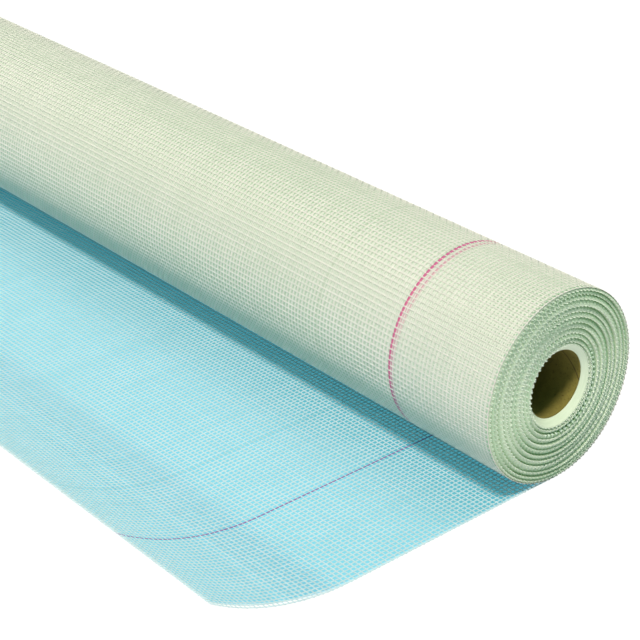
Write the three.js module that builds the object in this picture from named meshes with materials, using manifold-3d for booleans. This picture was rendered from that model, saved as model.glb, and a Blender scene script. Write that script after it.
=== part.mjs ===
// A roll of fiberglass reinforcing mesh, partly unrolled, lying on a level floor.
// Two pieces: the mesh, wound up with a loose tail on the floor, and the cardboard tube it is wound on.
// Millimetres, +Z up. X runs along the roll. The origin is on the floor, under the middle of the roll's axis.
import * as THREE from "three";
import { mergeVertices } from "three/addons/utils/BufferGeometryUtils.js";
import Module from "manifold-3d";

// Driving dimensions of the mesh
const meshWidth = 1000; // across the cloth, so along the roll
const meshThickness = 0.5; // of one loose layer, over the crossings of its yarns
const turnThickness = 0.3; // of one wound turn, where the layers sink into each other

// Driving dimensions of the tube
const tubeBore = 52;
const tubeWall = 3.4;
const tubeFit = 0.3; // radial gap between the tube and the first turn
const tubeRecess = 8; // how far each end of the tube sits inside the mesh

// Driving dimensions of the tail. Past its flat stretch it keeps a bend from having been rolled up.
const tailFlat = 195; // from under the axis of the roll
const tailCurlRadius = 205;
const tailCurlAngle = 36; // degrees

// The turns have slipped along the roll in groups, from the first turn out. The roll is as thick as its
// turns make it, and slip is how far a group has moved towards +X.
const turnGroups = [
  { turns: 25, slip: 0.2 },
  { turns: 13, slip: -1.0 },
  { turns: 13, slip: -0.6 },
  { turns: 26, slip: 0.8 },
  { turns: 26, slip: 0.4 },
  { turns: 15, slip: -0.8 },
  { turns: 11, slip: -0.2 },
  { turns: 22, slip: -1.0 },
];
const grooveWidth = 0.9; // where one group ends and the next begins
const grooveDepth = 2.2; // below the lower group of the two

// How finely the round shapes are faceted
const rollFacets = 60;
const tubeFacets = 48;
const curlSteps = 12;
const weldDistance = 0.001;

const tubeOuter = tubeBore / 2 + tubeWall;
const woundInner = tubeOuter + tubeFit;
const turnCount = turnGroups.reduce((sum, group) => sum + group.turns, 0);
const rollRadius = woundInner + turnCount * turnThickness;
const axisHeight = rollRadius;

const wasm = await Module();
wasm.setup();

// A closed three.js geometry as a solid that can be joined to another
function toSolid(geometry) {
  const bare = geometry.index ? geometry.toNonIndexed() : geometry.clone();
  bare.deleteAttribute("normal");
  bare.deleteAttribute("uv");
  const welded = mergeVertices(bare, weldDistance);
  return new wasm.Manifold(
    new wasm.Mesh({
      numProp: 3,
      vertProperties: welded.attributes.position.array,
      triVerts: new Uint32Array(welded.index.array),
    }),
  );
}

// A solid back as a three.js geometry with flat faces
function toGeometry(solid) {
  const { vertProperties, triVerts } = solid.getMesh();
  const geometry = new THREE.BufferGeometry();
  geometry.setAttribute("position", new THREE.BufferAttribute(vertProperties, 3));
  geometry.setIndex(new THREE.BufferAttribute(triVerts, 1));
  const flat = geometry.toNonIndexed();
  flat.computeVertexNormals();
  return flat;
}

// Turns a closed profile of points, each a radius and a distance along the roll, about the roll's axis. The
// facets touch the true circle from outside, and one of them is lowest, so the roll lies on the floor on it.
function turned(profile, facets) {
  const outwards = 1 / Math.cos(Math.PI / facets);
  const points = profile.map(({ radius, along }) => new THREE.Vector2(radius * outwards, along));
  points.push(points[0].clone());
  const geometry = new THREE.LatheGeometry(points, facets);
  geometry.rotateY(Math.PI / facets);
  geometry.rotateZ(-Math.PI / 2); // from the lathe's own axis, Y, to X
  geometry.translate(0, 0, axisHeight);
  return geometry;
}

// One end of the wound mesh, from the bore out: each group of turns ends flat, with a groove up to the next.
// side is 1 for the end at +X and -1 for the end at -X.
function woundEnd(side) {
  const points = [];
  let inner = woundInner;
  turnGroups.forEach(({ turns, slip }, index) => {
    const next = turnGroups[index + 1];
    const outer = inner + turns * turnThickness;
    const along = side * meshWidth / 2 + slip;
    points.push({ radius: inner, along });
    if (next) {
      const lower = side * Math.min(side * slip, side * next.slip);
      points.push({ radius: outer - grooveWidth, along });
      points.push({
        radius: outer - grooveWidth / 2,
        along: side * (meshWidth / 2 - grooveDepth) + lower,
      });
    } else {
      points.push({ radius: outer, along });
    }
    inner = outer;
  });
  return points;
}

// The tail goes on from the outermost turn, under the axis, so it is as far along the roll as that turn. Its
// side view, with x away from the roll and y up, is carried across the width of the mesh.
function looseTail() {
  const curl = THREE.MathUtils.degToRad(tailCurlAngle);
  const onArc = (radius, angle) => new THREE.Vector2(
    tailFlat + radius * Math.sin(angle),
    tailCurlRadius - radius * Math.cos(angle),
  );
  const angles = Array.from({ length: curlSteps + 1 }, (_, step) => (curl * step) / curlSteps);
  const underside = angles.map((angle) => onArc(tailCurlRadius, angle));
  const topside = angles.map((angle) => onArc(tailCurlRadius - meshThickness, angle));
  const sideView = new THREE.Shape([
    new THREE.Vector2(0, 0),
    ...underside,
    ...topside.reverse(),
    new THREE.Vector2(0, meshThickness),
  ]);
  const geometry = new THREE.ExtrudeGeometry(sideView, { depth: meshWidth, bevelEnabled: false });
  geometry.applyMatrix4(new THREE.Matrix4().makeBasis(
    new THREE.Vector3(0, -1, 0),
    new THREE.Vector3(0, 0, 1),
    new THREE.Vector3(-1, 0, 0),
  ));
  geometry.translate(meshWidth / 2 + turnGroups[turnGroups.length - 1].slip, 0, 0);
  return geometry;
}

function meshGeometry() {
  const wound = turned([...woundEnd(-1), ...woundEnd(1).reverse()], rollFacets);
  return toGeometry(toSolid(wound).add(toSolid(looseTail())));
}

function tubeGeometry() {
  const half = meshWidth / 2 - tubeRecess;
  return turned([
    { radius: tubeBore / 2, along: -half },
    { radius: tubeOuter, along: -half },
    { radius: tubeOuter, along: half },
    { radius: tubeBore / 2, along: half },
  ], tubeFacets);
}

const glassCloth = new THREE.MeshStandardMaterial({ color: "#dfe6cf", roughness: 0.55, metalness: 0 });
const cardboard = new THREE.MeshStandardMaterial({ color: "#a08c58", roughness: 0.9, metalness: 0 });

const mesh = new THREE.Mesh(meshGeometry(), glassCloth);
mesh.name = "fiberglass_mesh";

const tube = new THREE.Mesh(tubeGeometry(), cardboard);
tube.name = "cardboard_tube";

const roll = new THREE.Group();
roll.add(mesh, tube);

export default roll;
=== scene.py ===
# %% [markdown]
# # A roll of fiberglass reinforcing mesh
# The real thing is one length of open glass cloth, 1 m wide, wound on a cardboard tube. The last stretch is
# unrolled: it leaves the roll at the bottom, lies on the floor and curls up at its cut end. This lesson
# dresses the fixed frame of that roll. The cloth's own shape decides everything, so each yarn of the layer
# that shows is a mesh of its own, and only the layers under it are a pattern.

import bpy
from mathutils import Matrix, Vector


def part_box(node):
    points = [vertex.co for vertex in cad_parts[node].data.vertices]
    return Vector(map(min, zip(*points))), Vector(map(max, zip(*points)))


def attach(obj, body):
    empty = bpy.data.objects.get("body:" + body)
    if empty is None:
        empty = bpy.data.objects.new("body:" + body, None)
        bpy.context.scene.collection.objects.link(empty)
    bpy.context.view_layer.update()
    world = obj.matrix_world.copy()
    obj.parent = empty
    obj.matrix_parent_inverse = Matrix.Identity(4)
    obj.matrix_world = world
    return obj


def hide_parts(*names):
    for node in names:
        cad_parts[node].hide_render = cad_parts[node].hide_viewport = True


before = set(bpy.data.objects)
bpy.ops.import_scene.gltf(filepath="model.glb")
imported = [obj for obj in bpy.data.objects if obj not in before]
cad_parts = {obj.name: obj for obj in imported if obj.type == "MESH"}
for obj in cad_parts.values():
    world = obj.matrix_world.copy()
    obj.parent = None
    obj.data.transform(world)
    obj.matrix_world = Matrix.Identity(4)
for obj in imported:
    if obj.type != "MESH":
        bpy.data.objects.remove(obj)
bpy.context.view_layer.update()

import math

import bpy
import numpy as np
from mathutils import Vector

print("nodes of the frame:", sorted(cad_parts))

# %% [markdown]
# ## Sizes
# The solids give the size of the roll, the tube and the tail. The weave is finer than they are, so its sizes
# come first from the cloth itself: glass mesh for render has an opening of about 2.5 mm, and a marker yarn
# 100 mm in from each edge shows how far the next strip has to overlap. All lengths are metres, and MM turns
# millimetres into them.

# %% Sizes of the roll and of the cloth
MM = 0.001
mesh_high = Vector(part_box("fiberglass_mesh")[1])
tube_low, tube_high = (Vector(corner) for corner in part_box("cardboard_tube"))

ROLL_RADIUS = mesh_high.z / 2
TUBE_OUTER = (tube_high.z - tube_low.z) / 2
TUBE_WALL = 3.4 * MM
CLOTH_WIDTH = 1.0

TAIL_FLAT = 195 * MM
CURL_RADIUS = 205 * MM
CURL_ANGLE = math.radians(36)
TAIL_LENGTH = TAIL_FLAT + CURL_RADIUS * CURL_ANGLE

WARP_PITCH = 3.68 * MM
WEFT_PITCH = 4.15 * MM
WARP_WIDTH = 1.25 * MM
WEFT_WIDTH = 1.4 * MM
YARN_THICKNESS = 0.34 * MM
WEAVE_LIFT = 0.11 * MM
CLOTH_MIDDLE = 0.29 * MM
TURN_THICKNESS = 0.3 * MM

OUTER_SLIP = -1.0 * MM
NEAR_EDGE = CLOTH_WIDTH / 2 + OUTER_SLIP
FAR_EDGE = NEAR_EDGE - CLOTH_WIDTH
EDGE_STUB = 1.1 * MM
MARKER_FROM_EDGE = 100 * MM
MARKER_PLACE = NEAR_EDGE - MARKER_FROM_EDGE
FAR_MARKER_PLACE = FAR_EDGE + MARKER_FROM_EDGE

FULL_TURN = 2 * math.pi

print(f"roll {2 * ROLL_RADIUS / MM:.0f} mm across, tail {TAIL_LENGTH / MM:.0f} mm long")

# %% [markdown]
# ## The path of the cloth
# On the real roll the outermost turn and the tail are one strip. So one function gives the path of that strip
# in the side view, from the cut end back to the line where the roll touches the floor, and on round the roll.
# Every yarn then asks it where it lies, and no yarn has to be fitted to another.

# %% Path of the cloth
WANDER_MIDDLE, WANDER_HEIGHT, WANDER_TURN = -1.0 * MM, 2.0 * MM, math.radians(140)
JOIN_ANGLE = math.radians(60)


def wander(angle):
    """How far the turns have slid along the roll: 3 mm back behind the top and 1 mm out in front, a cosine of
    the angle round the axis, which is counted from the floor line and goes up the back of the roll."""
    return WANDER_MIDDLE - WANDER_HEIGHT * np.cos(angle - WANDER_TURN)


def slip_of_turn(turned):
    """The outermost turn starts level with the tail and takes the common slide over its first sixth, by the
    smooth step of a share s, which is s squared times 3 less 2 s."""
    share = np.clip(turned / JOIN_ANGLE, 0, 1)
    return wander(turned) * share * share * (3 - 2 * share)


def cloth_path(along, lift=0.0):
    """Where the cloth runs. along is the distance from the floor line, above zero on the tail and below zero
    on the roll, and lift is the height over the outer face, towards the roll's axis. The tail is a straight
    line and then an arc, and the turn is a circle that tightens by one turn's thickness. Gives y, z, the
    unit normal's y and z, and the slip along x."""
    along, lift = np.broadcast_arrays(np.asarray(along, float), np.asarray(lift, float))
    curl = np.clip(along - TAIL_FLAT, 0, None) / CURL_RADIUS
    turned = np.clip(-along, 0, None) / (ROLL_RADIUS - CLOTH_MIDDLE)
    flat = np.clip(along, 0, TAIL_FLAT)
    normal_y = np.where(along > 0, np.sin(curl), -np.sin(turned))
    normal_z = np.where(along > 0, np.cos(curl), np.cos(turned))
    radius = np.where(along > 0, CURL_RADIUS, ROLL_RADIUS)
    inward = lift + TURN_THICKNESS * turned / FULL_TURN
    y = -flat - (radius - inward) * normal_y
    z = radius - (radius - inward) * normal_z
    return y, z, normal_y, normal_z, slip_of_turn(turned)


print("the cut end stands", round(float(cloth_path(TAIL_LENGTH)[1]) / MM, 1), "mm over the floor")

# %% [markdown]
# ## Meshes from arrays
# A yarn is a closed tube with a section of three points: two on the side it lies on and one on its crown.
# Thousands of them are one mesh, so the points of all of them come from one array sum, and the faces from
# one pattern of indices. A shell that came out facing in has a volume below zero and is turned round.

# %% Faces of tubes and of rings
def faces_of_tubes(tubes, steps, sides):
    """Index arrays of the side quads and the two end faces of many tubes, each steps rings of sides points,
    numbered ring by ring."""
    ring = np.arange(sides)
    step = np.arange(steps - 1)[:, None] * sides
    quads = np.stack([step + ring, step + (ring + 1) % sides, step + (ring + 1) % sides + sides,
                      step + ring + sides], axis=-1).reshape(-1, 4)
    ends = np.array([ring[::-1], ring + (steps - 1) * sides])
    first = np.arange(tubes)[:, None, None] * steps * sides
    return (first + quads).reshape(-1, 4), (first + ends).reshape(-1, sides)


def faces_of_ring(rows, columns):
    """Index array of the quads of a grid that closes on itself both ways, as on a ring."""
    here = np.arange(rows)[:, None] * columns + np.arange(columns)
    beside, below = np.roll(here, -1, 1), np.roll(here, -1, 0)
    return np.stack([here, beside, np.roll(beside, -1, 0), below], axis=-1).reshape(-1, 4)


def signed_volume(points, faces):
    """Six times the volume inside faces, summed over fans of triangles from each face's first corner."""
    total = 0.0
    for corner in range(1, faces.shape[1] - 1):
        a, b, c = (points[faces[:, k]] for k in (0, corner, corner + 1))
        total += float(np.einsum("ij,ij->", a, np.cross(b, c)))
    return total


# %% Pieces from points and faces
def make_piece(name, points, face_groups, material, slot, **attributes):
    """One closed smooth mesh from an array of points and arrays of faces, riding on the roll."""
    middle = points.mean(axis=0)
    if sum(signed_volume(points - middle, faces) for faces in face_groups) < 0:
        face_groups = [faces[:, ::-1] for faces in face_groups]
    loops = np.concatenate([faces.ravel() for faces in face_groups])
    counts = np.concatenate([np.full(len(faces), faces.shape[1]) for faces in face_groups])
    mesh = bpy.data.meshes.new(name)
    mesh.vertices.add(len(points))
    mesh.vertices.foreach_set("co", points.astype(np.float32).ravel())
    mesh.loops.add(len(loops))
    mesh.loops.foreach_set("vertex_index", loops.astype(np.int32))
    mesh.polygons.add(len(counts))
    mesh.polygons.foreach_set("loop_start", (np.cumsum(counts) - counts).astype(np.int32))
    mesh.polygons.foreach_set("use_smooth", np.ones(len(counts), bool))
    for key, values in attributes.items():
        kind, field = ("FLOAT_VECTOR", "vector") if values.ndim == 2 else ("FLOAT", "value")
        layer = mesh.attributes.new(key, kind, "POINT")
        layer.data.foreach_set(field, values.astype(np.float32).ravel())
    mesh.update(calc_edges=True)
    mesh.materials.append(material)
    piece = bpy.data.objects.new(name, mesh)
    bpy.context.scene.collection.objects.link(piece)
    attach(piece, "root")
    print(f"{name}: {int((counts - 2).sum())} triangles")
    return piece


# %% [markdown]
# ## Nodes and colours
# Colours are written as the sRGB hex values that a colour picker shows, and Blender's sockets want linear
# ones, so one function turns them. One more adds a node, sets its values and links its inputs.

# %% Helpers for materials
def linear(hex_colour):
    """The linear red, green, blue and alpha of an sRGB hex colour."""
    values = np.array([int(hex_colour[k:k + 2], 16) for k in (1, 3, 5)]) / 255
    bright = ((values + 0.055) / 1.055) ** 2.4
    return (*np.where(values <= 0.04045, values / 12.92, bright), 1.0)


def new_material(name):
    """A material with an empty node tree, and that tree."""
    material = bpy.data.materials.new(name)
    material.use_nodes = True
    material.node_tree.nodes.clear()
    return material, material.node_tree


def add_node(tree, kind, *values, **named):
    """Adds a node. values go to its sockets in order. Of the named values, those in lower case are its own
    settings and the others go to the socket of that name. A value is a number, a vector, a hex colour, an
    output, or a node, whose first output in use is linked."""
    node = tree.nodes.new("ShaderNode" + kind)
    sockets = list(enumerate(values))
    for key, value in named.items():
        if key.islower():
            setattr(node, key, value)
        else:
            sockets.append((key.replace("_", " "), value))
    for key, value in sockets:
        if isinstance(value, bpy.types.Node):
            value = next(output for output in value.outputs if output.enabled)
        if isinstance(value, bpy.types.NodeSocket):
            tree.links.new(value, node.inputs[key])
        else:
            node.inputs[key].default_value = linear(value) if isinstance(value, str) else value
    return node


# %% [markdown]
# ## Glass yarn
# Each yarn is a flat bundle of fine glass filaments, dipped in a coating that keeps the cloth from alkali and
# from fraying. The filaments make it cream white, and the coating adds a pale green cast and a dull shine.
# The finish reads the place along and across each yarn, so the filaments run with it wherever it goes.

# %% Material of the coated glass yarn
# Real filaments are a hundredth of a millimetre, too fine to show, so they are drawn in strands of several
FILAMENT_WIDTH = 0.16 * MM
FILAMENT_LENGTH = 14 * MM
FILAMENT_DEPTH = 0.05 * MM
FILAMENT_SHARE = 0.5
NEXT_YARN = 7.3
PATCH_SIZE = 30 * MM
PATCH_SHARE = 0.35
COATING_IOR = 1.5


def glass_yarn(name, pale, deep, roughness=0.42):
    """Coated glass roving: pale where the bundle is thick, deep where the coating gathers."""
    material, tree = new_material(name)
    place = add_node(tree, "Attribute", attribute_name="yarn_place")
    stretch = add_node(tree, "Mapping", Vector=place.outputs["Vector"],
                       Scale=(1 / FILAMENT_LENGTH, 1 / FILAMENT_WIDTH, NEXT_YARN))
    filaments = add_node(tree, "TexNoise", Vector=stretch, Scale=1.0, Detail=2.0)
    tone = add_node(tree, "Attribute", attribute_name="yarn_tone_with_painted_light")
    spot = add_node(tree, "TexCoord").outputs["Object"]
    patches = add_node(tree, "TexNoise", Vector=spot, Scale=1 / PATCH_SIZE, Detail=1.0)
    shade = add_node(tree, "Math", filaments, FILAMENT_SHARE, tone.outputs["Fac"], operation="MULTIPLY_ADD")
    shade = add_node(tree, "Math", patches, PATCH_SHARE, shade, operation="MULTIPLY_ADD", use_clamp=True)
    colour = add_node(tree, "Mix", data_type="RGBA", Factor=shade, A=deep, B=pale)
    relief = add_node(tree, "Bump", Height=filaments, Strength=0.35, Distance=FILAMENT_DEPTH)
    shader = add_node(tree, "BsdfPrincipled", Base_Color=colour, Roughness=roughness, IOR=COATING_IOR,
                      Normal=relief)
    add_node(tree, "OutputMaterial", Surface=shader)
    return material


roll_yarn = glass_yarn("coated_glass_yarn", "#f2e8e5", "#cfd2c3")
# Painted light: this copy of the yarn is painted blue, the blue green light from under the thin single layer of
# the tail put into its colour
tail_yarn = glass_yarn("coated_glass_yarn_single_layer_painted_blue_light", "#e2eef6", "#b6dae4")
# The stubs' tones mix random tone with a painted highlight on the teeth and painted shade in the creases
stub_yarn = glass_yarn("cut_glass_yarn_ends_painted_light_and_shade", "#e6efe2", "#8cc292")
marker_yarn = glass_yarn("dyed_polyester_marker_yarn", "#d4648f", "#8f68b4", roughness=0.6)

# %% [markdown]
# ## The weave
# Warp yarns run along the strip and weft yarns across it, over and under each other in turn. A real loom
# gives every yarn a small error in its place, its width and its tone, and the coating freezes it. The errors
# are drawn once here, from one seeded source, and the roll and the tail read the same ones.

# %% Places of the yarns
SEED = 11
WARP_ERROR, WEFT_ERROR = 0.05 * MM, 0.07 * MM
FIRST_WEFT = 1.5 * MM
TONE_SPREAD = 0.35
FLAW_FROM_EDGE, FLAW_TONE = 180 * MM, -0.6

chance = np.random.default_rng(SEED)
warp_count = int(round((CLOTH_WIDTH - 2 * EDGE_STUB) / WARP_PITCH)) + 1
warp_places = NEAR_EDGE - EDGE_STUB - WARP_PITCH * np.arange(warp_count)
warp_places = warp_places + chance.normal(0, WARP_ERROR, warp_count)
strip_start = TAIL_LENGTH - FIRST_WEFT
turn_length = FULL_TURN * (ROLL_RADIUS - CLOTH_MIDDLE)
weft_count = int((strip_start + turn_length) / WEFT_PITCH)
weft_places = strip_start - WEFT_PITCH * np.arange(weft_count)
weft_places = weft_places + chance.normal(0, WEFT_ERROR, weft_count)
warp_tones = chance.uniform(0.0, TONE_SPREAD, warp_count)
weft_tones = chance.uniform(0.0, TONE_SPREAD, weft_count)
warp_tones[np.argmin(abs(warp_places - (NEAR_EDGE - FLAW_FROM_EDGE)))] = FLAW_TONE
marker_warps = np.array([np.argmin(abs(warp_places - place)) for place in (MARKER_PLACE, FAR_MARKER_PLACE)])
print(f"{warp_count} warp yarns, {weft_count} weft yarns on the tail and the outermost turn")

# %% Yarns from the path of the cloth
YARN_SECTION = np.array([(-0.5, -0.36), (0.5, -0.36), (0.0, 0.56)])
ALONG_ROLL, ALONG_STRIP = 0, 1


def yarn_marks(run, over, tones, shape):
    """What the finish reads at each point: the place along its yarn, the place over its width, the yarn's
    number and the yarn's tone."""
    number = np.arange(shape[0])[:, None, None]
    place = np.stack([np.broadcast_to(part, shape) for part in (run, over, number)], axis=-1)
    tone = np.broadcast_to(tones[:, None, None], shape)
    return {"yarn_place": place.reshape(-1, 3), "yarn_tone_with_painted_light": tone.reshape(-1)}


def lay_yarns(name, material, across, along, lift, side, width, crown, tones):
    """A piece of many yarns. across is the place along the roll, along the place on the strip and lift the
    height in the cloth, one row for each yarn. side says which way the width lies. The crown points to the
    axis if crown is 1 and away if it is -1. A point is its yarn's centre, and the section's two shares of
    the width sideways and of the thickness along the cloth's normal."""
    across, along, lift = np.broadcast_arrays(across, along, lift)
    y, z, normal_y, normal_z, slip = cloth_path(along, CLOTH_MIDDLE + lift)
    centre = np.stack([across + slip, y, z], axis=-1)
    normal = np.stack([0 * y, normal_y, normal_z], axis=-1)
    sideways = np.stack([0 * y, -normal_z, normal_y], axis=-1)
    if side == ALONG_ROLL:
        sideways = np.broadcast_to((1.0, 0.0, 0.0), normal.shape)
    over = YARN_SECTION[:, 0] * width
    proud = YARN_SECTION[:, 1] * YARN_THICKNESS * crown
    points = centre[:, :, None] + sideways[:, :, None] * over[:, None] + normal[:, :, None] * proud[:, None]
    run = along if side == ALONG_ROLL else across
    marks = yarn_marks(run[..., None], over, tones, points.shape[:3])
    return make_piece(name, points.reshape(-1, 3), faces_of_tubes(*points.shape[:3]), material, "glass_mesh",
                      **marks)


# %% Warps, wefts and markers
MARKER_LIFT, MARKER_TONE = -0.5, -0.4
WEFT_BOW = 2 * MM
WEFT_WAVE, WAVE_TURN, WAVE_START = 0.5 * MM, 9.0, 1.0


def weft_bow(across):
    """How far a weft bends along the strip: a parabola over the width, and a slow sine wave."""
    share = (across - FAR_EDGE) / CLOTH_WIDTH
    return WEFT_BOW * (4 * share * (1 - share)) + WEFT_WAVE * np.sin(WAVE_TURN * share + WAVE_START)


def warps(name, yarns, crossings, ends, material, crown):
    """Warp yarns by number, over the wefts by number, running on to the two ends given."""
    along = np.concatenate([[ends[0]], weft_places[crossings], [ends[1]]])
    over = np.where((yarns[:, None] + crossings) % 2 == 0, 1.0, -1.0)
    lift = np.pad(over, ((0, 0), (1, 1)), mode="edge") * WEAVE_LIFT
    return lay_yarns(name, material, warp_places[yarns][:, None], along, lift, ALONG_ROLL, WARP_WIDTH, crown,
                     warp_tones[yarns])


def wefts(name, numbers, material, crown):
    """Weft yarns by number, across every warp, with a stub past the edge warps."""
    across = np.array([warp_places[0] + EDGE_STUB, *warp_places, warp_places[-1] - EDGE_STUB])
    over = np.where((numbers[:, None] + np.arange(warp_count)) % 2 == 0, -1.0, 1.0)
    lift = np.pad(over, ((0, 0), (1, 1)), mode="edge") * WEAVE_LIFT
    return lay_yarns(name, material, across, weft_places[numbers][:, None] + weft_bow(across), lift,
                     ALONG_STRIP, WEFT_WIDTH, crown, weft_tones[numbers])


def markers(name, crossings, ends, crown, width, tone):
    """The two marker yarns. Each is a pair of twisted yarns that grips every weft, so the coloured part shows
    between the wefts and hides under each of them. tone is 0 for violet and 1 for pink."""
    along = np.concatenate([[ends[0]], weft_places[crossings], [ends[1]]])
    return lay_yarns(name, marker_yarn, warp_places[marker_warps][:, None], along,
                     MARKER_LIFT * crown * WEAVE_LIFT, ALONG_ROLL, width, crown,
                     np.full(len(marker_warps), tone + MARKER_TONE))


# %% [markdown]
# ## The tail and the outermost turn
# The strip is cut in two meshes each way at the floor line, because a mesh of all the yarns would be too
# heavy to keep. On the tail the crowns look up, and on the roll they look out. Each mesh is a sheet of cloth
# with gaps, so its flat area is the number of its yarns times their width and length.

# %% Yarns of the tail and of the outermost turn
plain_warps = np.delete(np.arange(warp_count), marker_warps)
on_tail = np.flatnonzero(weft_places > 0)
on_roll = np.flatnonzero(weft_places <= 0)
tail_ends, roll_ends = (TAIL_LENGTH, 0.0), (0.0, -turn_length)
UP, OUT = 1, -1

tail_warps = warps("tail_warp_yarns", plain_warps, on_tail, tail_ends, tail_yarn, UP)
tail_wefts = wefts("tail_weft_yarns", on_tail, tail_yarn, UP)
tail_marker = markers("tail_marker_yarns", on_tail, tail_ends, UP, 1.3 * MM, 0.2)
roll_warps = warps("outer_turn_warp_yarns", plain_warps, on_roll, roll_ends, roll_yarn, OUT)
roll_wefts = wefts("outer_turn_weft_yarns", on_roll, roll_yarn, OUT)
roll_marker = markers("outer_turn_marker_yarns", on_roll, roll_ends, OUT, 3.4 * MM, 0.9)

for warp_piece, weft_piece, marker_piece, length, held, crossings in (
        (tail_warps, tail_wefts, tail_marker, TAIL_LENGTH, "laid", on_tail),
        (roll_warps, roll_wefts, roll_marker, turn_length, "stretched", on_roll)):
    print(f"{warp_piece.name} and {weft_piece.name}: cut to {CLOTH_WIDTH:.3f} m by {length:.3f} m")

# %% [markdown]
# ## The turns underneath
# Under the outermost turn lie about 150 more. Through each opening the eye sees the next two or three, whose
# yarns fill it. They are a closed ring with a pattern: stripes at the pitch of the weave, shifted from turn to
# turn, in a finish that goes from the cream of a yarn to a green painted shade in the gap under it, with the
# deeper turns painted darker as painted shade. On the two ends of the ring the turns lie edge on, so there the
# finish follows the depth: cream on what stands out, and a green painted shade where a group of turns sinks in
# towards the next.

# %% Material of the wound turns
# The yarns of the next turns: axis (0 across the cloth, 1 along it), pitch, width, and then the shift as a
# share of the pitch and how light the turn still looks, a painted shade that darkens the deeper turns
UNDER_YARNS = ((0, WARP_PITCH, WARP_WIDTH, 0.5, 1.0), (1, WEFT_PITCH, WEFT_WIDTH, 0.46, 0.9),
               (0, WARP_PITCH, WARP_WIDTH, 0.22, 0.55), (1, WEFT_PITCH, WEFT_WIDTH, 0.8, 0.5))
STRIPE_FOOT, STRIPE_TOP = 0.6, 0.25
STRIPE_DEPTH = 0.3 * MM
GHOST_OFFSET = 2.4 * MM
GHOST_WIDTH = 3.4 * MM
GHOST_STRENGTH = 0.7


def wound_turns(name, pale, gap, marker):
    """The next turns as stripes, each a smooth bell over its yarn, of which the highest counts. Deeper turns
    have lower bells, and between the bells the colour goes to the gap colour, both painted shade. The marker
    yarn of the next turn shows through as a faint line beside the outer one."""
    material, tree = new_material(name)
    place = add_node(tree, "Attribute", attribute_name="strip_place")
    parts = add_node(tree, "SeparateXYZ", Vector=place.outputs["Vector"])
    height = 0.0
    for axis, pitch, width, shift, level in UNDER_YARNS:
        moved = add_node(tree, "Math", parts.outputs[axis], shift * pitch, operation="ADD")
        wave = add_node(tree, "Math", moved, pitch / 2, operation="PINGPONG")
        bell = add_node(tree, "MapRange", interpolation_type="SMOOTHSTEP", Value=wave, To_Max=level,
                        From_Min=STRIPE_FOOT * width, From_Max=STRIPE_TOP * width)
        height = add_node(tree, "Math", bell, height, operation="MAXIMUM")
    # Painted shade: between the bells, and over the deeper turns, the colour goes to the green of the gap
    colour = add_node(tree, "Mix", data_type="RGBA", Factor=height, A=gap, B=pale)
    beside = add_node(tree, "Math", parts.outputs[0], MARKER_PLACE + GHOST_OFFSET, operation="SUBTRACT")
    beside = add_node(tree, "Math", beside, operation="ABSOLUTE")
    ghost = add_node(tree, "MapRange", interpolation_type="SMOOTHSTEP", Value=beside, From_Min=GHOST_WIDTH,
                     From_Max=0.0, To_Max=GHOST_STRENGTH)
    colour = add_node(tree, "Mix", data_type="RGBA", Factor=ghost, A=colour, B=marker)
    relief = add_node(tree, "Bump", Height=height, Strength=0.6, Distance=STRIPE_DEPTH)
    shader = add_node(tree, "BsdfPrincipled", Base_Color=colour, Roughness=0.5, IOR=COATING_IOR,
                      Normal=relief)
    add_node(tree, "OutputMaterial", Surface=shader)
    return material


# The green gap colour is painted shade between the yarns of the deeper turns
under_turns = wound_turns("wound_glass_cloth", "#e2e0d6", "#a2b99a", "#d2789e")

# %% Material of the ends of the turns
EDGE_GRAIN = 0.9 * MM
EDGE_GRAIN_LENGTH = 16 * MM
EDGE_GRAIN_DEPTH = 0.2 * MM


def turn_edges(name, pale, deep):
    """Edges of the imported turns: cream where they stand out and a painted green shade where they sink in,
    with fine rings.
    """
    material, tree = new_material(name)
    depth = add_node(tree, "Attribute", attribute_name="groove_depth")
    place = add_node(tree, "Attribute", attribute_name="strip_place")
    rings = add_node(tree, "Mapping", Vector=place.outputs["Vector"],
                     Scale=(1 / EDGE_GRAIN_LENGTH, 1 / EDGE_GRAIN, 1))
    fine = add_node(tree, "TexNoise", Vector=rings, Scale=1.0, Detail=3.0)
    shade = add_node(tree, "Math", fine, 0.3, 0.8, operation="MULTIPLY_ADD")
    # Painted shade: the deeper the end sinks, the greener and darker it is painted
    shade = add_node(tree, "Math", shade, depth.outputs["Fac"], operation="SUBTRACT", use_clamp=True)
    colour = add_node(tree, "Mix", data_type="RGBA", Factor=shade, A=deep, B=pale)
    relief = add_node(tree, "Bump", Height=fine, Strength=0.15, Distance=EDGE_GRAIN_DEPTH)
    shader = add_node(tree, "BsdfPrincipled", Base_Color=colour, Roughness=0.5, IOR=COATING_IOR,
                      Normal=relief)
    add_node(tree, "OutputMaterial", Surface=shader)
    return material


# The deep green is painted shade in the creases and in the gaping crease
edge_yarn = turn_edges("packed_edges_of_glass_cloth_painted_crease_shade", "#d9e3cd", "#6a9c4a")

# %% [markdown]
# ## The ends of the roll
# Winding never keeps every turn in line. Groups of turns have slipped a little past the next, and each group
# wanders round the roll. They lie like shingles: a group stands proud at its inner edge and sinks in towards
# its outer one, where the next begins. The steps are high behind the top and in front of the bottom, and
# nearly close in between, as on the photographed end. So the place of the end along the roll depends on the
# radius, through the groups, and on the angle, through slow waves that are seeded once for each group.

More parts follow.
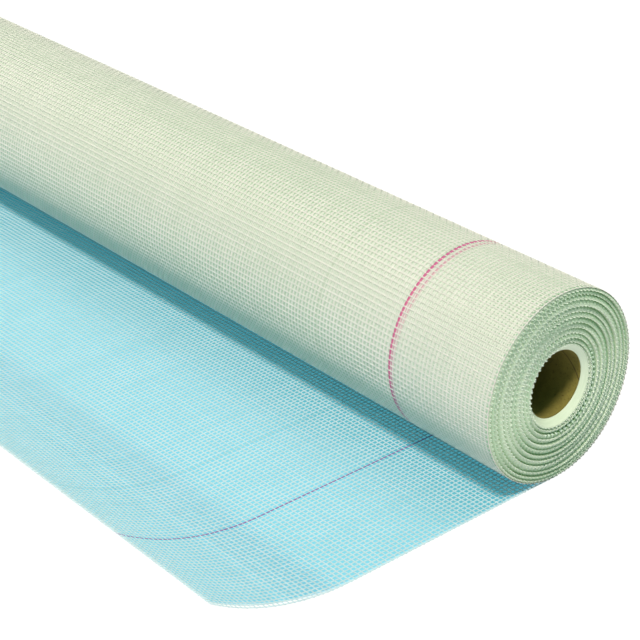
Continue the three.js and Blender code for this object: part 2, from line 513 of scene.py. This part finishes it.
# %% Groups of turns
# From the tube out: outer radius, and how far the end stands towards +X past the outermost turn, in
# millimetres
TURN_GROUPS = ((33.2, -0.6), (36.6, -0.2), (40.0, 0.2), (44.2, 0.0), (48.4, 0.4), (52.4, 0.2), (56.2, 0.5),
               (60.4, 0.2), (65.6, 0.5), (69.0, 0.1), (72.2, 0.3), (75.0, 0.0))
BORE_EDGE = 31.3 * MM
GROUP_WAVES = np.arange(1, 5)
GROUP_WAVE_HEIGHT = 0.28 * MM

group_outer, group_stand = np.array(TURN_GROUPS).T * MM
group_stand = group_stand + OUTER_SLIP
group_inner = np.concatenate([[BORE_EDGE], group_outer[:-1]])
wave_shape = (2, len(TURN_GROUPS), len(GROUP_WAVES))
wave_height = chance.normal(0, GROUP_WAVE_HEIGHT, wave_shape) / np.sqrt(GROUP_WAVES)
wave_turn = chance.uniform(0, FULL_TURN, wave_shape)
group_tone = chance.uniform(-0.15, 0.3, len(TURN_GROUPS))
print(len(TURN_GROUPS), "groups of turns between the tube and the outside")


def group_at(radius):
    """The number of the group that a radius lies in."""
    return np.clip(np.searchsorted(group_outer, radius, side="right"), 0, len(TURN_GROUPS) - 1)


# %% Shape of an end
STEP_DEPTH, STEP_LEAST, STEP_TURN = 2.0 * MM, 0.5, math.radians(150)
ROUNDING, ROUNDING_WIDTH = 0.5 * MM, 2 * MM
GAP_RADIUS, GAP_DEPTH, GAP_WIDTH = 37.2 * MM, 3.6 * MM, 0.85 * MM
GAP_TURN, GAP_REACH, GAP_FADE = math.radians(50), math.radians(85), 1.5


def gap_share(angle):
    """From 1 in the middle of the stretch where one crease gapes to 0 at its ends, in a straight line."""
    away = np.abs((angle - GAP_TURN + math.pi) % FULL_TURN - math.pi)
    return np.clip(GAP_FADE * (1 - away / GAP_REACH), 0, 1)


def stand_of_group(group, angle, side):
    """How far a group stands towards +X at an angle: its own step, the common slide, and four waves."""
    end = 0 if side > 0 else 1
    turned = GROUP_WAVES * np.asarray(angle)[..., None] + wave_turn[end][group]
    return group_stand[group] + wander(angle) + (wave_height[end][group] * np.sin(turned)).sum(-1)


def end_surface(radius, angle, side):
    """Place along x of the end, and how deep it lies from 0 to 1. Across a group it sinks with the square of
    the share of its width, by a depth that swings twice round the roll. The outermost edge is rounded, and
    a bell opens one crease on one side of the roll."""
    group = group_at(radius)
    share = (radius - group_inner[group]) / (group_outer[group] - group_inner[group])
    swing = STEP_LEAST + (1 - STEP_LEAST) * (1 + np.cos(2 * (angle - STEP_TURN))) / 2
    rounding = ROUNDING * np.clip((radius - group_outer[-1]) / ROUNDING_WIDTH + 1, 0, 1) ** 2
    gap = GAP_DEPTH * np.exp(-((radius - GAP_RADIUS) / GAP_WIDTH) ** 2) * gap_share(angle)
    slope = STEP_DEPTH * swing * np.clip(share, 0, 1) ** 2
    sunk = slope + rounding + gap
    place = side * CLOTH_WIDTH / 2 + stand_of_group(group, angle, side) - side * sunk
    return place, np.clip((slope + gap) / STEP_DEPTH, 0, 1)


# %% Body of the wound turns
AROUND = 288
END_ROWS = 104
WALL_ROWS = 16
WALL_START = 0.0006
BODY_RADIUS = ROLL_RADIUS - 2 * CLOTH_MIDDLE
WALL_BACK = 0.6 * MM
# Past the tube's end nothing carries the innermost turns, so they have sunk in over it: shares of the way
# from the edge of the bore to the tube's end, and radii
LIP_SHARE = np.array([0.12, 0.35, 0.6, 0.85, 0.96, 1.0, 1.0])
LIP_RADIUS = np.array([30.7, 29.5, 28.1, 26.9, 26.5, 26.5, 29.7]) * MM
LIP_CLEAR = 0.4 * MM


def wound_body():
    """A ring round the roll's axis. Its section goes from the bore out over one end, along the outer wall, in
    over the other end and its lip, and back through the bore to the first lip. A point is its place along x
    and a circle of its radius."""
    angle = np.linspace(0, FULL_TURN, AROUND, endpoint=False)[:, None]
    radii = np.linspace(BORE_EDGE, BODY_RADIUS, END_ROWS)
    steps = np.linspace(WALL_START, 1 - WALL_START, WALL_ROWS)
    near_x, near_deep = end_surface(radii + 0 * angle, angle + 0 * radii, 1)
    far_x, far_deep = end_surface(radii + 0 * angle, angle + 0 * radii, -1)
    near_x, far_x = near_x - WALL_BACK, far_x + WALL_BACK
    outside = near_x[:, -1:] + (far_x[:, -1:] - near_x[:, -1:]) * steps
    near_lip = near_x[:, :1] + (tube_high.x + LIP_CLEAR - near_x[:, :1]) * LIP_SHARE
    far_lip = far_x[:, :1] + (tube_low.x - LIP_CLEAR - far_x[:, :1]) * LIP_SHARE
    inside = far_lip[:, -1:] + (near_lip[:, -1:] - far_lip[:, -1:]) * steps
    # Place along x, radius, 1 on an end and 0 on a wall, and depth
    stretches = ((near_x, radii, 1, near_deep), (outside, BODY_RADIUS, 0, 0),
                 (far_x[:, ::-1], radii[::-1], 1, far_deep[:, ::-1]), (far_lip, LIP_RADIUS, 1, 0),
                 (inside, LIP_RADIUS[-1], 0, 0), (near_lip[:, ::-1], LIP_RADIUS[::-1], 1, 0))
    x, radius, on_end, depth = (
        np.concatenate([np.broadcast_to(stretch[k], stretch[0].shape) for stretch in stretches], axis=1)
        for k in range(4))
    points = np.stack([x, radius * np.sin(angle), ROLL_RADIUS - radius * np.cos(angle)], axis=-1)
    strip = np.stack([np.where(on_end > 0, radius * angle, x), np.where(on_end > 0, radius, radius * angle),
                      0 * x], axis=-1)
    faces = faces_of_ring(*x.shape)
    piece = make_piece("wound_turns", points.reshape(-1, 3), [faces], under_turns, "glass_mesh",
                       strip_place=strip.reshape(-1, 3), groove_depth=depth.reshape(-1))
    piece.data.materials.append(edge_yarn)
    is_end = on_end.reshape(-1)[faces].min(axis=1) > 0
    piece.data.polygons.foreach_set("material_index", is_end.astype(np.int32))
    return piece


body = wound_body()
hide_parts("fiberglass_mesh")

# %% [markdown]
# ## The cut ends of the wefts
# Past the last warp of every turn the wefts end in short stubs. They sit one pitch apart along the strip, so
# from turn to turn they fall at another angle, and that makes the fine hatching on the end of a real roll.
# The length wound before each turn gives the angle of every stub, and no random number is needed for that.
# Only their lengths, tilts and part of their tones are random. Those on the proud inner edge of a group show as
# teeth, painted lighter as a painted highlight, and stubs that lie sunk in a group are painted darker as
# painted shade. Where a crease gapes the stubs of one turn bridge it and leave a row of holes, whose floor is
# painted dark as painted shade.

# %% Stubs on both ends
STUB_SECTION = np.array([(-0.5, -0.4), (0.5, -0.4), (0.0, 0.6)])
STUB_WIDTH = 1.2 * MM
STUB_HEIGHT = 0.34 * MM
STUB_PROUD = 0.55 * MM
STUB_ROOT = 0.5 * MM
STUB_TAPER = 0.75
STUB_SWAY = 0.05 * MM
TOOTH_REACH = 0.45 * MM
TOOTH_PROUD = 0.7 * MM
TOOTH_PAINTED_HIGHLIGHT = 0.4
BRIDGE_WIDTH = 2.7 * MM
BRIDGE_HEIGHT = 2.0 * MM
BRIDGE_LEAST = 0.2
PAINTED_CREASE_SHADE = 0.8


def stub_places():
    """Radius and angle of every stub. The strip wound up to turn n is a sum of circles, n times the circle of
    the mean radius so far, and a stub sits wherever it passes a whole number of pitches."""
    turns = int(round((ROLL_RADIUS - BORE_EDGE) / TURN_THICKNESS)) - 1
    turn = np.arange(turns + 1)
    wound = FULL_TURN * turn * (BORE_EDGE + turn * TURN_THICKNESS / 2)
    along = WEFT_PITCH * np.arange(math.floor(wound[-1] / WEFT_PITCH) + 1)
    turn = np.searchsorted(wound, along, side="right") - 1
    radius = BORE_EDGE + (turn + 0.5) * TURN_THICKNESS
    return radius, (along - wound[turn]) / radius


def weft_stubs(name, side):
    """Stubs on the end at side 1 (near) or -1 (far), each a tapered prism from its foot in the body of the
    turns to its tip past the end."""
    radius, angle = stub_places()
    count = len(radius)
    past_crease = radius[:, None] - group_inner
    tooth = ((past_crease > 0) & (past_crease < TOOTH_REACH)).any(axis=1)
    gaping = gap_share(angle) > BRIDGE_LEAST
    tooth = tooth & ~(gaping & (abs(radius - GAP_RADIUS) <= 2 * GAP_WIDTH))
    bridge = gaping & (abs(radius - GAP_RADIUS) < TURN_THICKNESS / 2)
    surface, depth = end_surface(radius, angle, side)
    proud = STUB_PROUD * chance.uniform(0.85, 1.1, count) + TOOTH_PROUD * tooth
    proud = np.where(bridge, (GAP_DEPTH + STUB_PROUD) * gap_share(angle), proud) + STUB_ROOT
    width = np.where(bridge, BRIDGE_WIDTH, STUB_WIDTH)[:, None, None]
    height = np.where(bridge, BRIDGE_HEIGHT, STUB_HEIGHT)[:, None, None]
    sway = chance.normal(0, STUB_SWAY, (2, count))
    outward = np.stack([0 * angle, np.sin(angle), -np.cos(angle)], axis=-1)
    around = np.stack([0 * angle, np.cos(angle), np.sin(angle)], axis=-1)
    foot = np.stack([surface - side * (WALL_BACK + STUB_ROOT), radius * np.sin(angle),
                     ROLL_RADIUS - radius * np.cos(angle)], axis=-1)
    reach = proud[:, None] * np.array([side, 0.0, 0.0])
    tip = foot + reach + around * sway[0][:, None] + outward * sway[1][:, None]
    over = STUB_SECTION[:, 0] * np.array([[1.0], [STUB_TAPER]]) * width
    up = STUB_SECTION[:, 1] * height
    points = (np.stack([foot, tip], axis=1)[:, :, None] + around[:, None, None] * over[..., None]
              + outward[:, None, None] * up[..., None])
    # Painted highlight: teeth on a group's proud inner edge are painted lighter
    tones = group_tone[group_at(radius)] + chance.uniform(0.1, 0.2, count) + TOOTH_PAINTED_HIGHLIGHT * tooth
    # Painted shade: stubs sunk in a group are painted darker, the deeper the more
    tones = tones - PAINTED_CREASE_SHADE * np.where(bridge, 0, depth)
    marks = yarn_marks(0.0, STUB_SECTION[:, 0] * STUB_WIDTH, tones, points.shape[:3])
    return make_piece(name, points.reshape(-1, 3), faces_of_tubes(*points.shape[:3]), stub_yarn, "glass_mesh",
                      **marks)


weft_stubs("near_end_weft_stubs", 1)
weft_stubs("far_end_weft_stubs", -1)

# %% [markdown]
# ## The cardboard tube
# The tube is wound from strips of brown paper at an angle, glued, and sawn to length. A spiral seam shows
# inside, the sawn ends show the plies as rings, and the recycled paper has darker flecks.

# %% Board of the tube
SEAM_PITCH = 130 * MM
SEAM_EDGE, SEAM_CORE = 0.8 * MM, 0.2 * MM
PLY = 0.45 * MM
PLY_EDGE, PLY_CORE, PLY_STRENGTH = 0.16 * MM, 0.05 * MM, 0.35
MOTTLE_SIZE, MOTTLE_DEPTH = 6 * MM, 0.2 * MM
FLECK_SIZE, FLECK_STRENGTH = 1.2 * MM, 0.6
BOARD_ROUGHNESS, BOARD_IOR = 0.92, 1.45


def paper_board(name, pale, deep, fleck):
    """Grey-brown tube board: mottled at a few millimetres, with flecks of dark fibre and fine plies."""
    material, tree = new_material(name)
    spot = add_node(tree, "TexCoord").outputs["Object"]
    mottle = add_node(tree, "TexNoise", Vector=spot, Scale=1 / MOTTLE_SIZE, Detail=4.0, Roughness=0.6)
    fibres = add_node(tree, "TexNoise", Vector=spot, Scale=1 / FLECK_SIZE, Detail=2.0)
    dark = add_node(tree, "MapRange", Value=fibres, From_Min=0.62, From_Max=0.70)
    dark = add_node(tree, "Math", dark, FLECK_STRENGTH, operation="MULTIPLY")
    place = add_node(tree, "Attribute", attribute_name="board_place")
    parts = add_node(tree, "SeparateXYZ", Vector=place.outputs["Vector"])
    spiral = add_node(tree, "Math", parts.outputs["Y"], SEAM_PITCH, parts.outputs["X"],
                      operation="MULTIPLY_ADD")
    spiral = add_node(tree, "Math", spiral, SEAM_PITCH / 2, operation="PINGPONG")
    seam = add_node(tree, "MapRange", Value=spiral, From_Min=SEAM_EDGE, From_Max=SEAM_CORE)
    plies = add_node(tree, "Math", parts.outputs["Z"], PLY, operation="PINGPONG")
    ply_line = add_node(tree, "MapRange", Value=plies, From_Min=PLY_EDGE, From_Max=PLY_CORE,
                        To_Max=PLY_STRENGTH)
    lines = add_node(tree, "Math", seam, ply_line, operation="MAXIMUM")
    colour = add_node(tree, "Mix", data_type="RGBA", Factor=mottle, A=deep, B=pale)
    colour = add_node(tree, "Mix", data_type="RGBA", Factor=dark, A=colour, B=fleck)
    colour = add_node(tree, "Mix", data_type="RGBA", Factor=lines, A=colour, B=fleck)
    relief = add_node(tree, "Bump", Height=mottle, Strength=0.4, Distance=MOTTLE_DEPTH)
    shader = add_node(tree, "BsdfPrincipled", Base_Color=colour, Roughness=BOARD_ROUGHNESS, IOR=BOARD_IOR,
                      Normal=relief)
    add_node(tree, "OutputMaterial", Surface=shader)
    return material


tube_board = paper_board("spiral_wound_paper_board", "#94883e", "#6c642a", "#38260f")

# %% Tube
TUBE_AROUND, TUBE_STEPS = 128, 10
TUBE_EDGE = 0.5 * MM
CORNER_STEPS = 5


def tube_piece():
    """A ring round the roll's axis with a rounded rectangle as its section, in steps of its own length."""
    angle = np.linspace(0, FULL_TURN, TUBE_AROUND, endpoint=False)[:, None]
    bore = TUBE_OUTER - TUBE_WALL
    corner = np.linspace(0, math.pi / 2, CORNER_STEPS)
    out_r, out_x = TUBE_OUTER - TUBE_EDGE + TUBE_EDGE * np.cos(corner), TUBE_EDGE * (np.sin(corner) - 1)
    in_r, in_x = bore + TUBE_EDGE - TUBE_EDGE * np.sin(corner), TUBE_EDGE * (np.cos(corner) - 1)
    run = np.linspace(tube_low.x, tube_high.x, TUBE_STEPS + 2)[1:-1]
    radius = np.concatenate([out_r, in_r, np.full(TUBE_STEPS, bore), in_r[::-1], out_r[::-1],
                             np.full(TUBE_STEPS, TUBE_OUTER)]) + 0 * angle
    x = np.concatenate([tube_high.x + out_x, tube_high.x + in_x, run[::-1], tube_low.x - in_x[::-1],
                        tube_low.x - out_x[::-1], run]) + 0 * angle
    points = np.stack([x, radius * np.sin(angle), ROLL_RADIUS - radius * np.cos(angle)], axis=-1)
    place = np.stack([x, angle / FULL_TURN + 0 * x, radius], axis=-1)
    return make_piece("paper_board_tube", points.reshape(-1, 3), [faces_of_ring(*x.shape)], tube_board,
                      "tube_board", board_place=place.reshape(-1, 3))


tube = tube_piece()
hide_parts("cardboard_tube")

# %% [markdown]
# ## The floor, the light and the camera
# A sheet of opal plastic lit from below, as for a product photograph, so that no shadow falls beside the roll.
# Under the loose cloth the table's colour and glow are painted blue green: a painted shadow of the cloth, lit
# by painted blue green light from the coated glass, and deeper next to the roll as a painted shadow of the
# roll. This painted cast ends where the camera sees the cloth end: along the cut edge, and round the corner
# where the cloth lifts off. The camera stands where the photograph was taken from.

# %% Floor
CAST_FRONT = -0.2845
CAST_BACK = 0.0
CAST_CORNER = 116 * MM
# Painted shadow of the roll: between these two lines the painted blue green under the cloth deepens towards the
# roll
SHADE_FRONT, SHADE_BACK = -0.13, -0.045
CAST_SOFT = 4 * MM
TABLE_GLOW, PAINTED_CLOTH_GLOW, PAINTED_CLOTH_DIM = 0.96, 0.55, 0.55
FLOOR_REACH = 40


def lit_table(name):
    """White by its own even glow. Under the cloth its colour is painted blue green, a painted shadow of the
    cloth, and its glow there is weaker and painted blue green as well. A point is under the cloth if it lies in
    a rectangle with round front corners, behind the front line. Next to the roll the painted blue green is
    deeper, a painted shadow of the roll."""
    material, tree = new_material(name)
    spot = add_node(tree, "TexCoord").outputs["Object"]
    parts = add_node(tree, "SeparateXYZ", Vector=spot)
    x, y = parts.outputs["X"], parts.outputs["Y"]
    past_x = add_node(tree, "Math", x, (NEAR_EDGE + FAR_EDGE) / 2, operation="SUBTRACT")
    past_x = add_node(tree, "Math", past_x, operation="ABSOLUTE")
    past_x = add_node(tree, "Math", past_x, CLOTH_WIDTH / 2 - CAST_CORNER, operation="SUBTRACT")
    past_x = add_node(tree, "Math", past_x, 0.0, operation="MAXIMUM")
    past_y = add_node(tree, "Math", -TAIL_FLAT, y, operation="SUBTRACT")
    past_y = add_node(tree, "Math", past_y, 0.0, operation="MAXIMUM")
    corner = add_node(tree, "CombineXYZ", X=past_x, Y=past_y)
    away = add_node(tree, "VectorMath", corner, operation="LENGTH").outputs["Value"]
    cast = 1.0
    for value, edge, inner in ((away, CAST_CORNER, CAST_CORNER - CAST_SOFT),
                               (y, CAST_FRONT, CAST_FRONT + CAST_SOFT),
                               (y, CAST_BACK, CAST_BACK - CAST_SOFT)):
        inside = add_node(tree, "MapRange", interpolation_type="SMOOTHSTEP", Value=value, From_Min=edge,
                          From_Max=inner)
        cast = add_node(tree, "Math", inside, cast, operation="MULTIPLY")
    shaded = add_node(tree, "MapRange", interpolation_type="SMOOTHSTEP", Value=y, From_Min=SHADE_FRONT,
                      From_Max=SHADE_BACK)
    # Painted shadow under the cloth: blue green, deeper next to the roll as painted shade of the roll
    painted_cloth_shadow_colour = add_node(tree, "Mix", data_type="RGBA", Factor=shaded, A="#8cdcf0", B="#5cbcd0")
    dimmed_painted_cloth_shadow = add_node(tree, "Mix", data_type="RGBA", Factor=PAINTED_CLOTH_DIM, A=painted_cloth_shadow_colour, B="#000000")
    surface = add_node(tree, "Mix", data_type="RGBA", Factor=cast, A="#606060", B=dimmed_painted_cloth_shadow)
    # Painted light under the cloth: the glow there is blue green and weaker, elsewhere the table glows evenly
    # white
    shine = add_node(tree, "Mix", data_type="RGBA", Factor=cast, A="#ffffff", B=painted_cloth_shadow_colour)
    glow = add_node(tree, "Math", cast, PAINTED_CLOTH_GLOW - TABLE_GLOW, TABLE_GLOW, operation="MULTIPLY_ADD")
    shader = add_node(tree, "BsdfPrincipled", Base_Color=surface, Roughness=0.9, Specular_IOR_Level=0.2,
                      Emission_Color=shine, Emission_Strength=glow)
    add_node(tree, "OutputMaterial", Surface=shader)
    return material


floor_mesh = bpy.data.meshes.new("floor")
floor_corners = [(x * FLOOR_REACH, y * FLOOR_REACH, 0) for x, y in ((-1, -1), (1, -1), (1, 1), (-1, 1))]
floor_mesh.from_pydata(floor_corners, [], [(0, 1, 2, 3)])
floor_mesh.materials.append(lit_table("opal_table_painted_cloth_shadow"))
floor = bpy.data.objects.new("floor", floor_mesh)
bpy.context.scene.collection.objects.link(floor)

# %% Light
ROOM_COLOUR, ROOM_LIGHT = "#baf2e2", 0.4

world = bpy.data.worlds.new("studio")
bpy.context.scene.world = world
world.use_nodes = True
room = world.node_tree.nodes["Background"]
room.inputs["Color"].default_value = linear(ROOM_COLOUR)
room.inputs["Strength"].default_value = ROOM_LIGHT


def far_light(name, place, power, spread, colour):
    """A light so far away that it is even over the whole table. It shines from place to the middle."""
    data = bpy.data.lights.new(name, "SUN")
    data.energy = power
    data.angle = math.radians(spread)
    data.color = linear(colour)[:3]
    light = bpy.data.objects.new(name, data)
    light.location = place
    light.rotation_euler = (-Vector(place)).to_track_quat("-Z", "Y").to_euler()
    bpy.context.scene.collection.objects.link(light)


far_light("key_light", (0.6, -1.0, 2.5), 3.0, 10, "#fff6ea")
far_light("back_light", (0.1, 1.3, 2.4), 0.5, 25, "#fff4e8")

# %% Camera
CAMERA_PLACE = Vector((NEAR_EDGE + 0.7231, -0.8443, 0.7073))
CAMERA_LOOK = Vector((-0.6724, 0.5752, -0.4658))
SENSOR_WIDTH, LENS = 36, 100.6

camera_data = bpy.data.cameras.new("camera")
camera_data.sensor_width = SENSOR_WIDTH
camera_data.lens = LENS
camera = bpy.data.objects.new("camera", camera_data)
camera.location = CAMERA_PLACE
camera.rotation_euler = CAMERA_LOOK.to_track_quat("-Z", "Y").to_euler()
bpy.context.scene.collection.objects.link(camera)
bpy.context.scene.camera = camera
bpy.context.scene.view_settings.view_transform = "Standard"
